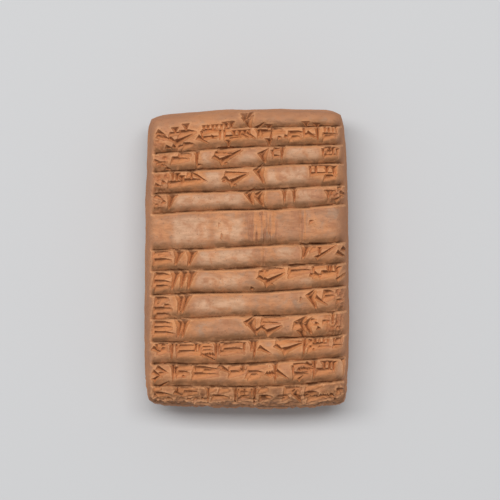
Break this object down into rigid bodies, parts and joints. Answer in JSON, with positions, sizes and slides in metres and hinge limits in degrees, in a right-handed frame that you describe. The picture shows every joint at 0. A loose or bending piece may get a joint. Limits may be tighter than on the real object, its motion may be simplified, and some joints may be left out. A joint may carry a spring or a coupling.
{
  "type": "cuneiform tablet",
  "caption": "Small pillow-shaped clay tablet with rounded edges and ruled rows of wedge-shaped strokes pressed into its face, for display lying flat.",
  "frame": {"origin": "middle of the underside, which is the reverse that the tablet rests on", "axes": "+Z out of the obverse, +Y towards the top row of the obverse, +X towards the right end of its rows"},
  "size_m": [0.0412, 0.0604, 0.0164],
  "materials": {
    "clay": "matt orange-brown clay, paler and greyer where it is worn smooth"
  },
  "bodies": {
    "root": {"tablet": "clay"}
  },
  "joints": []
}
